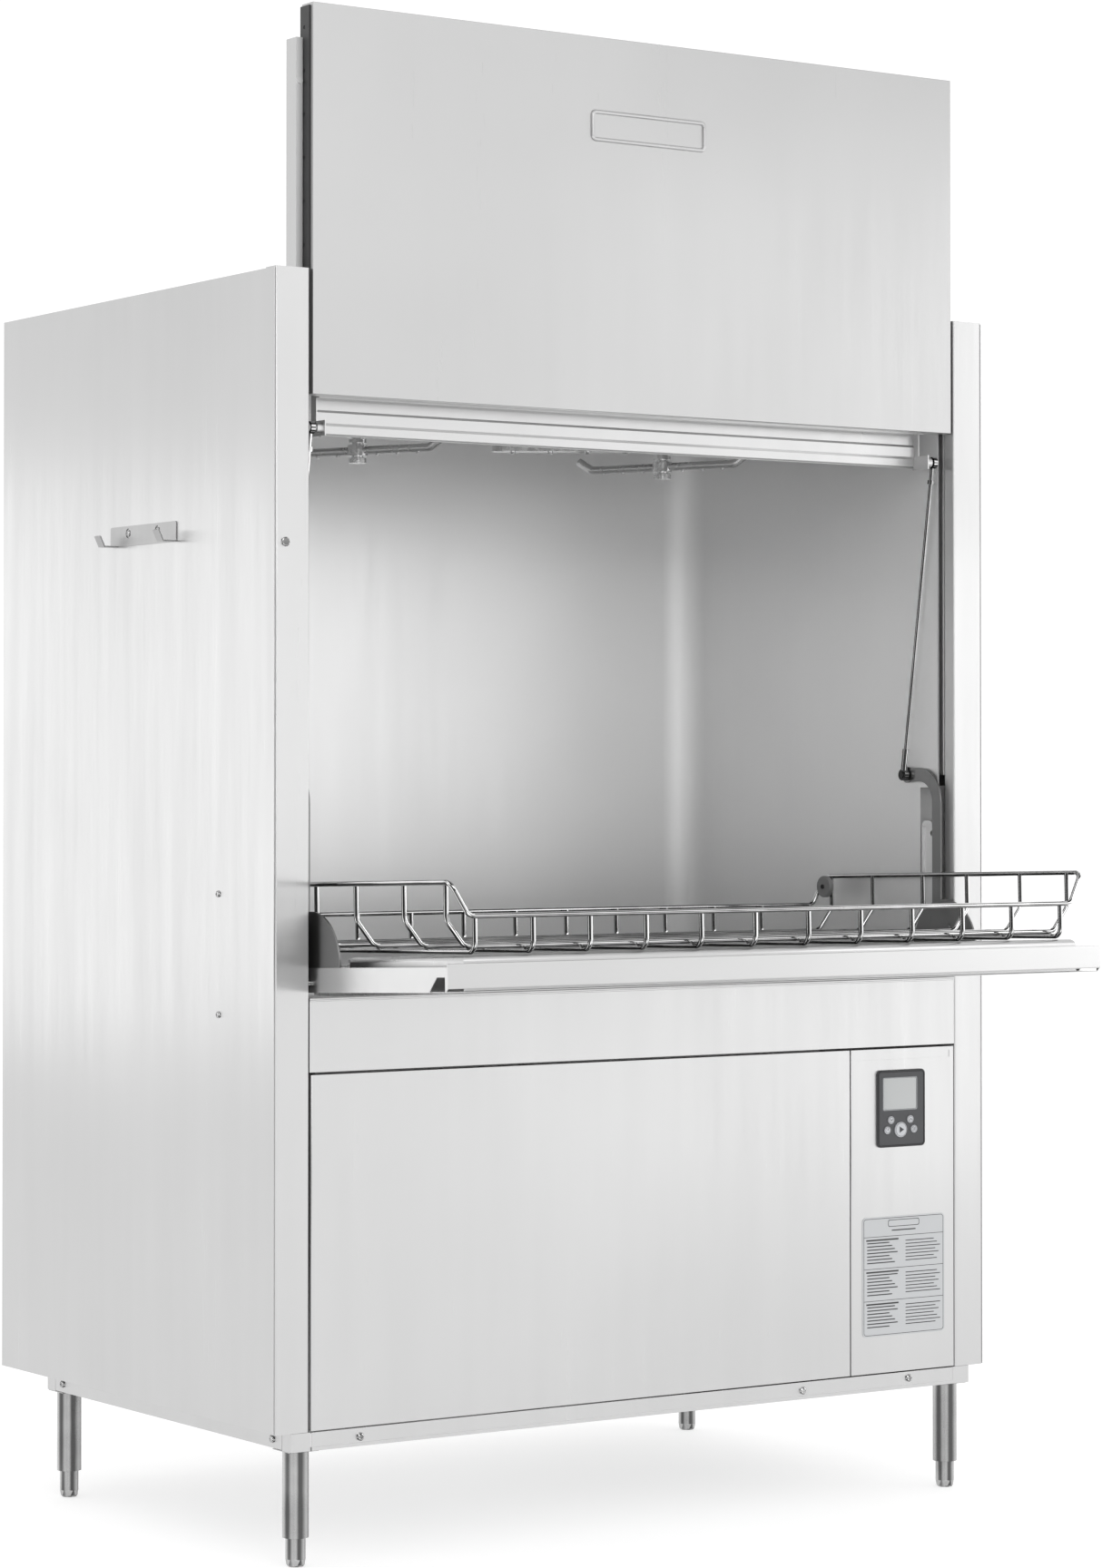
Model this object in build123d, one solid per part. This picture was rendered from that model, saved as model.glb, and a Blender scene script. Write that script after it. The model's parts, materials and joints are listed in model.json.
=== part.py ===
from build123d import *
import os
from math import cos, pi, radians, sin

# Split-door pot and pan washer. Millimetres, +Z up. While it is modelled, x = 0 is the middle, y = 0 is
# the front face of the columns with +Y towards the back, and z = 0 is the floor. save() then moves each
# piece so that the origin is under the middle of the whole machine's box.

# ---- driving dimensions -----------------------------------------------------------------------------
WIDTH = 1420.0
DEPTH = 929.0
HEIGHT = 2015.0
SKIRT_Z = 211.0
COLUMN_FACE = 63.0
SHEET = 1.5

CHAMBER_X = 641.0
CHAMBER_FRONT = 37.0
CHAMBER_BACK = 772.0
CHAMBER_RADIUS = 55.0
CHAMBER_LOW = 797.0
CHAMBER_TOP = 1870.0

TRIM_TOP = 881.5
BASE_HALF, BASE_BACK = 678.0, 817.0
LEG_X, LEG_FRONT_Y, LEG_REAR_Y = 651.0, 33.0, 789.0
LEG_R = 41.3 / 2
FOOT_R = 31.6 / 2
FOOT_TOP = 45.0

HINGE_Y, HINGE_Z = 15.0, 903.85
LOWER_TILT = 2.3
LOWER_REACH = 399.0
LOWER_HALF = 638.6
DOOR_TRAVEL = 503.0
UPPER_HALF = 641.0
UPPER_LOW, UPPER_TOP = 1819.5, 2431.0
UPPER_DEPTH = 36.0

ROD_X = 626.5
ROD_R = 3.6
LEVER_PIVOT = (112.0, 1230.0)
DOOR_PIVOT_Z = 1770.0

RACK_HALF_X, RACK_HALF_Y = 618.0, 345.0
RACK_WIRE = 4.0
RACK_SIDE, RACK_FRONT = 108.0, 58.0
RACK_REST = (-22.2, 950.1)
RACK_REST_TILT = 1.55
LONG_WIRES, LONG_PITCH = 12, 104.4
CROSS_WIRES_Y = (59.0, 197.0, 314.0)
ROLLER_AT = (CROSS_WIRES_Y[-1], 90.0)
ROLLER_R = 19.0
ROLLER_X = 590.0
RAIL_X, RAIL_TOP = 572.0, 939.6

STATION_X, STATION_Y = 315.0, 400.0
WASH_REACH, RINSE_REACH = 300.0, 170.0
WASH_TURN, RINSE_TURN = 146.0, -65.0
UPPER_WASH_Z, UPPER_RINSE_Z = 1810.0, 1773.0
LOWER_WASH_Z, LOWER_RINSE_Z = 868.0, 903.0
SPINDLE_R, BORE_R = 10.0, 10.06

PUMP_X, PUMP_Z = 330.0, 318.0
CASING_R = 88.0

TANK = (-600.0, 400.0, 60.0, 760.0, 430.0)
TANK_WALL = 2.0

# Openings and plates as (low, high) pairs: y and z for the side window, x and z for the bezel and lens.
WINDOW = (45.0, 84.0, 1004.0, 1208.0)
BEZEL = (475.0, 578.5, 594.5, 726.0)
LENS = (487.5, 559.5, 658.5, 712.0)
BADGE = (-116.0, 116.0, 2260.0, 2312.0)

# Each button's x, z and radius.
BUTTONS = {
    "start_button": (524.0, 624.0, 13.0),
    "power_key": (495.0, 624.0, 6.5),
    "program_key": (553.0, 624.0, 6.5),
    "down_key": (503.0, 641.0, 6.5),
    "up_key": (545.0, 641.0, 6.5),
}

HALF = WIDTH / 2
COLUMN_IN = HALF - COLUMN_FACE
HOOK_OUT = 34.0
HOOK_SCREWS = ((371.0, 1624.0), (470.0, 1624.0))
ORIGIN = (-HOOK_OUT / 2, (DEPTH - LOWER_REACH * cos(radians(LOWER_TILT)) + HINGE_Y) / 2)

os.makedirs("parts", exist_ok=True)


# ---- small helpers ----------------------------------------------------------------------------------
def save(name, *pieces):
    """Write the pieces as one node, in the part's own frame."""
    solids = [solid for piece in pieces for solid in piece.solids()]
    place = Location((-ORIGIN[0], -ORIGIN[1], 0))
    export_step(Compound(children=[solid.moved(place) for solid in solids]), f"parts/{name}.step")


def block(x0, x1, y0, y1, z0, z1):
    """A box between two corners."""
    centre = Location(((x0 + x1) / 2, (y0 + y1) / 2, (z0 + z1) / 2))
    return centre * Box(abs(x1 - x0), abs(y1 - y0), abs(z1 - z0))


def bar(start, end, radius):
    """A round bar from one point to another."""
    run = Vector(*end) - Vector(*start)
    from_start = (Align.CENTER, Align.CENTER, Align.MIN)
    return Plane(origin=start, z_dir=run) * Cylinder(radius, run.length, align=from_start)


def tube(start, end, outer, inner):
    """A round tube from one point to another."""
    return bar(start, end, outer) - bar(start, end, inner)


def wire(points, radius, bend):
    """A round wire along straight runs with rounded corners."""
    path = FilletPolyline(*points, radius=bend)
    return sweep(Plane(origin=path @ 0, z_dir=path % 0) * Circle(radius), path=path)


def mirrored(shape):
    """The same shape on the other side of the machine."""
    return shape.mirror(Plane.YZ)


def both(shape):
    """A piece and its mirror image."""
    return [shape, mirrored(shape)]


def tray(x0, x1, y0, y1, z0, z1, wall, open_side, corner=0.0):
    """A folded sheet panel: a box with one open side, named like '+y', and rounded vertical edges."""
    shell = block(x0, x1, y0, y1, z0, z1)
    if corner:
        shell = fillet(shell.edges().filter_by(Axis.Z), corner)
    low = [x0 + wall, y0 + wall, z0 + wall]
    high = [x1 - wall, y1 - wall, z1 - wall]
    axis = "xyz".index(open_side[1])
    if open_side[0] == "+":
        high[axis] += 2 * wall
    else:
        low[axis] -= 2 * wall
    return shell - block(low[0], high[0], low[1], high[1], low[2], high[2])


def folded(points, wall, x0, x1):
    """A sheet folded along a (y, z) outline, from x0 to x1."""
    flat = Polyline(*[(y, z) for y, z in points])
    face = trace(flat, wall)
    return extrude(Plane.YZ.offset(x0) * face, x1 - x0)


def plate(outline, x0, x1):
    """A flat plate with a (y, z) face, from x0 to x1."""
    return extrude(Plane.YZ.offset(x0) * outline, x1 - x0)


def screw(x, y, z, direction, radius=5.5):
    """A domed screw head with a cross recess."""
    height, round_off = 0.6 * radius, 0.45 * radius
    head = Plane(origin=(x, y, z), z_dir=direction) * Pos(0, 0, height / 2) * Cylinder(radius, height)
    head = fillet(head.edges().sort_by(lambda e: -e.center().dot(Vector(*direction)))[0], round_off)
    for turn in (0, 90):
        slot = Plane(origin=(x, y, z), z_dir=direction) * Rot(0, 0, turn) * Pos(0, 0, height)
        head -= slot * Box(radius * 1.1, 1.4, 2)
    return head


# ---- cabinet: frame, legs, columns and panels --------------------------------------------------------
def base_frame():
    """Folded channels between corner blocks, set in from the side panels and the back."""
    rim, inner = BASE_HALF, BASE_HALF - 36.0
    back = BASE_BACK
    front = folded([(25, 182), (0.8, 182), (0.8, 209), (30, 209)], SHEET, -inner, inner)
    lip = block(-inner, inner, -1.2, 0.05, 181.5, 187)
    rear = folded([(back - 26, 209), (back, 209), (back, 182), (back - 26, 182)], SHEET, -inner, inner)
    side = block(inner, rim, 30, back - 29, 182, 210)
    side -= block(inner - 1, rim - SHEET, 29, back - 28, 183.5, 208.5)
    corner = block(inner + 1, rim, 1, 29, 181, 210)
    beams = [block(-inner + 1, inner - 1, y, y + 30, 190, 208) for y in (300, 600)]
    corners = both(corner) + both(corner.moved(Location((0, back - 29, 0))))
    save("base_frame", front + lip, rear, *both(side), *corners, *beams)


def legs():
    """Each leg is a tube with a threaded insert at its foot."""
    pieces = []
    for x in (-LEG_X, LEG_X):
        for y in (LEG_FRONT_Y, LEG_REAR_Y):
            leg = tube((x, y, FOOT_TOP), (x, y, 180), LEG_R, LEG_R - SHEET)
            leg += tube((x, y, FOOT_TOP), (x, y, FOOT_TOP + 18), LEG_R - 1, 9.65)
            cap = block(x - 26, x + 26, y - 26, y + 26, 179.5, 181)
            pieces.append(leg + cap)
    save("legs", *pieces)


def feet():
    """Each foot is a turned bullet with six spanner flats and a stem that screws into the leg."""
    stem, stem_top, shoulder = 9.6, FOOT_TOP + 30, FOOT_TOP - 1
    profile = Polyline(
        (0, 0), (FOOT_R - 3.5, 0), (FOOT_R - 1.5, 2.5), (FOOT_R, 12), (FOOT_R, shoulder),
        (stem, shoulder), (stem, stem_top), (0, stem_top), (0, 0),
    )
    foot = revolve(Plane.XZ * make_face(profile), Axis.Z, 360)
    for turn in range(0, 360, 60):
        foot -= Rot(0, 0, turn) * Pos(FOOT_R + 8.4, 0, 7) * Box(20, 14, 9)
    for side, x in (("left", -LEG_X), ("right", LEG_X)):
        save(f"front_{side}_foot", foot.moved(Location((x, LEG_FRONT_Y, 0))))
        save(f"rear_{side}_foot", foot.moved(Location((x, LEG_REAR_Y, 0))))


def front_columns():
    """Each column is a C-shaped post, open at the back."""
    out = HALF - 2.0
    post = block(COLUMN_IN, out, 0, 30, 210.5, HEIGHT)
    post = fillet(post.edges().filter_by(Axis.Z).group_by(Axis.Y)[0], 3)
    post -= block(COLUMN_IN + SHEET, out - SHEET, SHEET, 31, 200, HEIGHT - SHEET)
    post -= block(COLUMN_IN - 1, COLUMN_IN + 11, 24, 31, 200, HEIGHT + 1)
    save("front_columns", *both(post))


def side_and_roof_panels():
    side = tray(684, HALF, 32, 926.5, SKIRT_Z, 2013, SHEET, "-x")
    side += block(HALF - SHEET, HALF, 1, 33, SKIRT_Z, 2013)
    save("right_side_panel", side)
    save("left_side_panel", mirrored(side))
    back = block(-HALF + 2, HALF - 2, 927, DEPTH, SKIRT_Z, 2013)
    back -= bar((-100, 900, 300), (-100, 950, 300), 31)
    back -= bar((420, 900, 300), (420, 950, 300), 17)
    save("back_panel", back)
    roof = tray(-683, 683, 76, 926, 1985, 2015, SHEET, "-z")
    roof -= block(-600, 600, 70, 90, 1980, 2004)
    save("roof_panel", roof)


def front_panels():
    trim = tray(-646, 646, 0, 28, 766, TRIM_TOP, SHEET, "+y")
    trim -= block(-700, 700, 20, 40, 700, TRIM_TOP - 2)
    for side in (-1, 1):
        trim -= block(side * 625, side * 650, 20, 40, TRIM_TOP - 6, TRIM_TOP + 4)
    save("trim_panel", trim)
    lower = tray(-643, 418, 0, 18, 212, 762, SHEET, "+y", 1.4)
    save("lower_front_panel", lower)
    panel = tray(420, 645, 0, 18, 212, 762, SHEET, "+y", 1.4)
    panel -= block(430, 635, -1, 0.7, 744, 756)
    for x, z, radius in BUTTONS.values():
        panel -= bar((x, -1, z), (x, 5, z), radius + 0.3)
    save("control_panel", panel)


def controls():
    bezel = block(BEZEL[0], BEZEL[1], -4, 0, BEZEL[2], BEZEL[3])
    bezel = fillet(bezel.edges().filter_by(Axis.Y), 8)
    bezel = fillet(bezel.faces().sort_by(Axis.Y)[0].edges(), 1)
    bezel -= block(LENS[0], LENS[1], -5, -1.5, LENS[2], LENS[3])
    for x, z, radius in BUTTONS.values():
        bezel -= bar((x, -6, z), (x, 2, z), radius + 0.3)
    save("control_bezel", bezel)
    save("display_lens", block(LENS[0] + 0.2, LENS[1] - 0.2, -3.5, -1.5, LENS[2] + 0.2, LENS[3] - 0.2))
    for name, (x, z, radius) in BUTTONS.items():
        button = bar((x, -6.5, z), (x, 4, z), radius)
        button = fillet(button.edges().sort_by(Axis.Y)[0], 1.2)
        save(name, button)
    label = fillet(block(444, 623, -0.8, 0, 274, 477).edges().filter_by(Axis.Y), 8)
    save("label_plate", label)


def hook_bracket():
    """A back plate with two hooks folded out of its lower edge, their tips leaning away."""
    wall, low = -HALF, 1603.0
    back = block(wall - 2, wall, 309, 531, low, 1636)
    back = fillet(back.edges().filter_by(Axis.X), 4)
    for y, z in HOOK_SCREWS:
        back -= bar((wall - 5, y, z), (wall + 5, y, z), 8)
    run = Polyline((wall - 1, low + 1), (wall - 25, low + 1), (wall - HOOK_OUT + 1, low + 18))
    profile = trace(run, 2)
    for y in (309, 508):
        back += extrude(Plane.XZ.offset(-y - 20) * profile, 20)
    save("hook_bracket", back)


def fasteners():
    heads = [screw(x, 0, z, (0, -1, 0), 6.5) for x, z in ((-554, 196), (316, 196), (544, 199))]
    for side in (-1, 1):
        heads += [screw(side * BASE_HALF, y, 196, (side, 0, 0), 6.5) for y in (57, 760)]
        heads += [screw(side * HALF, y, z, (side, 0, 0)) for y, z in ((173, 1040), (172, 850))]
    heads += [screw(-HALF, y, z, (-1, 0, 0), 5.5) for y, z in HOOK_SCREWS]
    plug = bar((-690, 0, 1588), (-690, -2.5, 1588), 7.5)
    plug = fillet(plug.edges().sort_by(Axis.Y)[0], 1.8)
    save("panel_screws", *heads, plug)


# ---- wash chamber and tank ---------------------------------------------------------------------------
def chamber():
    straight_end = CHAMBER_BACK - CHAMBER_RADIUS
    out = CHAMBER_X + SHEET
    wall = block(CHAMBER_X, out, CHAMBER_FRONT, straight_end, CHAMBER_LOW, CHAMBER_TOP)
    lip = block(CHAMBER_X, CHAMBER_X + 3.5, CHAMBER_FRONT, CHAMBER_FRONT + SHEET, CHAMBER_LOW, CHAMBER_TOP)
    wall = wall + lip
    wall -= block(CHAMBER_X - 1, out + 1, WINDOW[0], WINDOW[1], WINDOW[2], WINDOW[3])
    centre = (CHAMBER_X - CHAMBER_RADIUS, straight_end, CHAMBER_LOW)
    ring = tube(centre, (centre[0], centre[1], CHAMBER_TOP), CHAMBER_RADIUS + SHEET, CHAMBER_RADIUS)
    corner = ring & block(centre[0], out + 5, straight_end, CHAMBER_BACK + 5, CHAMBER_LOW, CHAMBER_TOP)
    back = block(-centre[0], centre[0], CHAMBER_BACK, CHAMBER_BACK + SHEET, CHAMBER_LOW, CHAMBER_TOP)
    ceiling = block(-out, out, 78, CHAMBER_BACK + SHEET, CHAMBER_TOP, CHAMBER_TOP + SHEET)
    for x in (-STATION_X, STATION_X):
        ceiling -= bar((x, STATION_Y, CHAMBER_TOP - 5), (x, STATION_Y, CHAMBER_TOP + 5), 16)
    header = block(-638, 638, 78, 80, CHAMBER_TOP + SHEET, 2003)
    save("chamber_shell", *both(wall), *both(corner), back, ceiling, header)


def side_pockets():
    """A shallow pocket behind each side window, with a guide channel that stands in it."""
    y0, y1, z0, z1 = WINDOW
    wall_out = CHAMBER_X + SHEET
    pocket = tray(wall_out, wall_out + 30, y0 - 3, y1 + 3, z0 - 3, z1 + 3, SHEET, "-x")
    channel = block(CHAMBER_X + 0.5, CHAMBER_X + 8, 51, 81, z0 + 2, 1150)
    channel = fillet(channel.edges().filter_by(Axis.X).group_by(Axis.Z)[-1], 10)
    channel -= block(CHAMBER_X - 1, CHAMBER_X + 6.5, 53, 79, z0, 1140)
    channel -= bar((CHAMBER_X, 60, 1128), (CHAMBER_X + 10, 60, 1128), 5)
    save("side_pockets", *both(pocket), *both(channel))


def tank():
    """The tank is five welded plates with a rim that the chamber stands on."""
    x0, x1, y0, y1, z0 = TANK
    top = CHAMBER_LOW - SHEET
    w = TANK_WALL
    floor = block(x0, x1, y0, y1, z0, z0 + w)
    floor -= bar((-100, 250, z0 - 5), (-100, 250, z0 + 5), 21)
    floor -= bar((250, 200, z0 - 5), (250, 200, z0 + 5), 22)
    left = block(x0, x0 + w, y0, y1, z0 + w, top)
    right = block(x1 - w, x1, y0, y1, z0 + w, top)
    front = block(x0 + w, x1 - w, y0, y0 + w, z0 + w, top)
    rear = block(x0 + w, x1 - w, y1 - w, y1, z0 + w, top)
    rear -= bar((0, y1 - 5, 700), (0, y1 + 5, 700), 24.5)
    out = CHAMBER_X + SHEET
    back_edge = CHAMBER_BACK + SHEET
    rims = [
        block(-out, x0 + w, CHAMBER_FRONT, back_edge, top, CHAMBER_LOW),
        block(x1 - w, out, CHAMBER_FRONT, back_edge, top, CHAMBER_LOW),
        block(x0 + w, x1 - w, CHAMBER_FRONT, y0 + w, top, CHAMBER_LOW),
        block(x0 + w, x1 - w, y1 - w, back_edge, top, CHAMBER_LOW),
    ]
    sill = folded([(24, 878), (38, 862), (38, CHAMBER_LOW + 0.8)], SHEET, -625, 625)
    save("wash_tank", floor, left, right, front, rear, *rims, sill)


def strainers():
    x0, x1, y0, y1, z0 = TANK
    pans = []
    for left, right, hub in ((x0 + 4, -130, -STATION_X), (-70, x1 - 4, STATION_X)):
        pan = block(left, right, y0 + 6, y1 - 6, 770, 773)
        pan -= bar((hub, STATION_Y, 760), (hub, STATION_Y, 780), 26)
        slots = int((right - left - 60) // 40)
        for step in range(slots):
            x = left + 40 + step * 40
            if abs(x - hub) > 40:
                pan -= block(x, x + 12, y0 + 40, y1 - 40, 760, 780)
        pans.append(pan)
    save("tank_strainers", *pans)


def rack_rails():
    """Two rails under the rack's outer long wires, on ties between posts that stand on the tank rim."""
    rails = both(block(RAIL_X, RAIL_X + 4, 64, 740, 919, RAIL_TOP))
    ties = [block(-600, 600, y, y + 20, 916, 919) for y in (64, 720)]
    posts = []
    for y in (64, 726):
        for x0 in (-612, 600):
            posts.append(block(x0, x0 + 12, y, y + 14, CHAMBER_LOW, 930))
    save("rack_rails", *rails, *ties, *posts)


# ---- doors and their linkage -------------------------------------------------------------------------
def turned(y, z, degrees_closed):
    """Where a point of the lower door goes when the door has closed by that angle."""
    c, s = cos(radians(degrees_closed)), sin(radians(degrees_closed))
    dy, dz = y - HINGE_Y, z - HINGE_Z
    return HINGE_Y + c * dy + s * dz, HINGE_Z - s * dy + c * dz


def door_pivot_y():
    """The upper pivot's place, from equal rod lengths with the doors open and closed."""
    py, pz = LEVER_PIVOT
    qy, qz = turned(py, pz, 90 - LOWER_TILT)
    low = DOOR_PIVOT_Z - DOOR_TRAVEL
    gap = qy**2 + (low - qz) ** 2 - py**2 - (DOOR_PIVOT_Z - pz) ** 2
    return gap / (2 * (qy - py))


DOOR_PIVOT = (door_pivot_y(), DOOR_PIVOT_Z)


def upper_door():
    skin = tray(-UPPER_HALF, UPPER_HALF, 0, UPPER_DEPTH - SHEET, UPPER_LOW, UPPER_TOP, SHEET, "+y")
    skin = fillet(skin.edges().filter_by(Axis.X).group_by(Axis.Y)[0], 1.2)
    save("upper_door_skin", skin)
    top = [(72, 2412), (72, 2424), (35.25, 2424), (35.25, 1822)]
    drip_flange = [(60, 1822), (60, 1801), (57, 1797), (57, 1781), (60, 1777), (60, 1764), (57, 1761)]
    liner = folded(top + drip_flange, SHEET, -606, 606)
    save("upper_door_liner", liner)
    strip = block(UPPER_HALF, UPPER_HALF + 3, 8, UPPER_DEPTH - SHEET, UPPER_LOW + 4, UPPER_TOP - 4)
    for step in range(9):
        z = UPPER_LOW + 30 + step * 68
        strip -= bar((UPPER_HALF + 2, 22, z), (UPPER_HALF + 5, 22, z), 3)
    save("slide_strips", *both(strip))
    badge = block(BADGE[0], BADGE[1], -1.2, 0, BADGE[2], BADGE[3])
    save("door_badge", fillet(badge.edges().filter_by(Axis.Y), 9))
    py, pz = DOOR_PIVOT
    bracket = block(606, 608, 45.5, 61, pz - 12, UPPER_LOW - 0.3)
    bracket += block(606, 608, py - 12, 61, pz - 12, pz + 12)
    bracket += block(606, 608, UPPER_DEPTH, 61, UPPER_LOW - 1, UPPER_LOW + 3)
    bracket += bar((606, py, pz), (619, py, pz), 9)
    bracket += bar((619, py, pz), (633, py, pz), 4.0)
    bracket += bar((631.4, py, pz), (633, py, pz), 8.0)
    save("link_brackets", *both(bracket))


def lower_frame():
    """The lower door's own frame: its hinge line is the origin and its face is level."""
    return Location((0, HINGE_Y, HINGE_Z), (-LOWER_TILT, 0, 0))


def lower_door():
    place = lower_frame()
    near, far = 5.0, -LOWER_REACH
    skin = block(-LOWER_HALF, LOWER_HALF, far, near, -15, -15 + SHEET)
    front = block(-LOWER_HALF, LOWER_HALF, far, far + SHEET, -15, 28)
    hem = block(-LOWER_HALF, LOWER_HALF, far, far + 14, 28 - SHEET, 28)
    back_edge = near + 12
    lip_outline = Polyline(
        (near, -15), (far, -15), (far, 23.4), (back_edge, 23.4), (back_edge, -4), (near, -15)
    )
    lip = plate(make_face(lip_outline), LOWER_HALF - 2, LOWER_HALF)
    notch_outline = Polyline((far + 8, -18), (far + 8, 8), (far + 30, 8), (far + 56, -18), (far + 8, -18))
    notch = plate(make_face(notch_outline), LOWER_HALF - 3, LOWER_HALF + 3)
    pin_hole = bar((600, 0, 0), (660, 0, 0), 6.05)
    door = skin + front + hem
    for piece in (lip, mirrored(lip)):
        door += piece
    for cut in (notch, mirrored(notch), pin_hole, mirrored(pin_hole)):
        door -= cut
    bevel = Polyline((far - 1, -16), (far - 1, -7), (far + 8, -16), (far - 1, -16))
    door -= plate(make_face(bevel), -700, 700)
    save("lower_door_skin", door.moved(place))
    pan = block(-600, 600, far + 16, -60, -13.5, 39)
    pan = fillet(pan.edges().group_by(Axis.Z)[-1], 8)
    hollow = block(-598.5, 598.5, far + 17.5, -61.5, -20, 37.5)
    pan -= fillet(hollow.edges().group_by(Axis.Z)[-1], 8 - SHEET)
    save("lower_door_pan", pan.moved(place))


def lever_plates():
    """Each lever plate is a rounded cheek beside the hinge with a curved arm up to the rod's pivot."""
    py, pz = LEVER_PIVOT
    bend = 47.0
    width = 23.0
    turn_y, turn_z = 31.5 + bend, pz - bend
    cheek = Pos(10, 932) * Circle(83) & Pos(10, 932 + 60) * Rectangle(170, 174)
    cheek -= Pos(10, 880) * Rectangle(200, 68)
    arm = Pos(31.5, (950 + turn_z) / 2) * Rectangle(width, turn_z - 950)
    ring = Pos(turn_y, turn_z) * (Circle(bend + width / 2) - Circle(bend - width / 2))
    arm += ring & Pos(turn_y - 50, turn_z + 50) * Rectangle(100, 100)
    arm += Pos((turn_y + py) / 2, pz) * Rectangle(py - turn_y, width)
    arm += Pos(py, pz) * Circle(14)
    hub = Pos(HINGE_Y, HINGE_Z) * Circle(12.5)
    outline = cheek + arm + hub
    solid = plate(outline, 633.4, 636.6)
    solid -= bar((620, HINGE_Y, HINGE_Z), (650, HINGE_Y, HINGE_Z), 6.05)
    bolt = bar((633.4, 0, 966), (629.9, 0, 966), 6.5)
    save("lever_plates", *both(solid + bolt))


def hinge_pins():
    save("hinge_pins", *both(bar((629, HINGE_Y, HINGE_Z), (COLUMN_IN, HINGE_Y, HINGE_Z), 6.0)))


def link_rods():
    """Each rod has a flat eye at the top, locknuts, and an end housing with the pivot bolt at the bottom."""
    uy, uz = DOOR_PIVOT
    py, pz = LEVER_PIVOT
    run = Vector(0, py - uy, pz - uz)
    along = run.normalized()
    top, low = Vector(ROD_X, uy, uz), Vector(ROD_X, py, pz)

    def at(start, distance):
        point = start + along * distance
        return point.X, point.Y, point.Z

    rod = bar(at(top, 9), at(low, -9), ROD_R)
    rod += bar((ROD_X - 4, uy, uz), (ROD_X + 4, uy, uz), 10)
    rod += bar(at(top, 30), at(top, 37), 6.1)
    rod += bar(at(low, -45), at(low, -38), 6.1)
    rod += bar(at(low, -38), at(low, -8), 5.8)
    rod += bar((ROD_X - 4, py, pz), (ROD_X + 4, py, pz), 10)
    rod += bar((ROD_X - 6, py, pz), (ROD_X + 6.2, py, pz), 5.2)
    rod -= bar((ROD_X - 5, uy, uz), (ROD_X + 5, uy, uz), 4.06)
    save("link_rods", *both(rod))


def guide_posts():
    post = block(645, 657, 25, 55, 1230, 2378) - block(644, 655, 27, 53, 1200, 2400)
    bolt = bar((651, 25, 2310), (651, 22.5, 2310), 5)
    post += block(645, 646.5, 52, 55, 1230, 2378)
    save("guide_posts", *both(post + bolt))


# ---- rack ------------------------------------------------------------------------------------------
def rack_place():
    return Location((0, RACK_REST[0], RACK_REST[1]), (-RACK_REST_TILT, 0, 0))


def rack_rim():
    """Half of the rim: high along the side, and slanting down at its corners to the low front and rear."""
    low, high = RACK_FRONT, RACK_SIDE
    points = [
        (0, -RACK_HALF_Y, low), (RACK_HALF_X - 28.5, -RACK_HALF_Y, low),
        (RACK_HALF_X, -RACK_HALF_Y + 5, high), (RACK_HALF_X, RACK_HALF_Y - 5, high),
        (RACK_HALF_X - 28.5, RACK_HALF_Y, low), (0, RACK_HALF_Y, low),
    ]
    return wire(points, RACK_WIRE, 15)


def long_wire(x):
    """A wire from the front rim to the rear rim, along the bottom."""
    low = RACK_WIRE
    end = RACK_HALF_Y - 2 * RACK_WIRE - 0.1
    points = [(x, -end, RACK_FRONT), (x, -end, low), (x, end, low), (x, end, RACK_FRONT)]
    return wire(points, RACK_WIRE, 15)


def cross_wire(y):
    """A wire from side rim to side rim, lying on the long wires."""
    low = 3 * RACK_WIRE + 0.1
    end = RACK_HALF_X - 2 * RACK_WIRE - 0.1
    points = [(-end, y, RACK_SIDE), (-end, y, 52), (-end + 32, y, low),
              (end - 32, y, low), (end, y, 52), (end, y, RACK_SIDE)]
    return wire(points, RACK_WIRE, 18)


def rack():
    """The wire rack, and the two rollers on the stub axles of its rearmost cross wire."""
    place = rack_place()
    pieces = both(rack_rim())
    first = -LONG_PITCH * (LONG_WIRES - 1) / 2
    pieces += [long_wire(first + step * LONG_PITCH) for step in range(LONG_WIRES)]
    axle_y, axle_z = ROLLER_AT
    for y in CROSS_WIRES_Y:
        pieces.append(cross_wire(-y))
        piece = cross_wire(y)
        if y == axle_y:
            for side in (-1, 1):
                inner, outer = side * (ROLLER_X - 2), side * (RACK_HALF_X - 2 * RACK_WIRE)
                piece += bar((inner, axle_y, axle_z), (outer, axle_y, axle_z), 4)
        pieces.append(piece)
    save("wire_rack", *[piece.moved(place) for piece in pieces])
    ring = tube((ROLLER_X, axle_y, axle_z), (ROLLER_X + 10, axle_y, axle_z), ROLLER_R, 4.06)
    rims = ring.edges().filter_by(lambda edge: abs(edge.length - 2 * pi * ROLLER_R) < 0.5)
    ring = fillet(rims, 2)
    save("rack_rollers", *[piece.moved(place) for piece in both(ring)])


# ---- wash and rinse system ---------------------------------------------------------------------------
def wash_arm(x, z, turn, spray):
    """A flat closed trough with nozzles on its spray side, which is +1 up or -1 down."""
    trough = fillet(Box(2 * WASH_REACH, 44, 20).edges().filter_by(Axis.Z), 18)
    trough = fillet(trough.faces().sort_by(Axis.Z)[-1].edges(), 3)
    for step in (1, 2, 3, 4):
        for side in (-1, 1):
            place = Pos(side * step * 66, side * 8, spray * 11.5)
            trough += place * Cylinder(5, 6)
    trough += Cylinder(26, 26)
    trough -= Cylinder(BORE_R, 60)
    return trough.moved(Location((x, STATION_Y, z), (0, 0, turn)))


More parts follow.
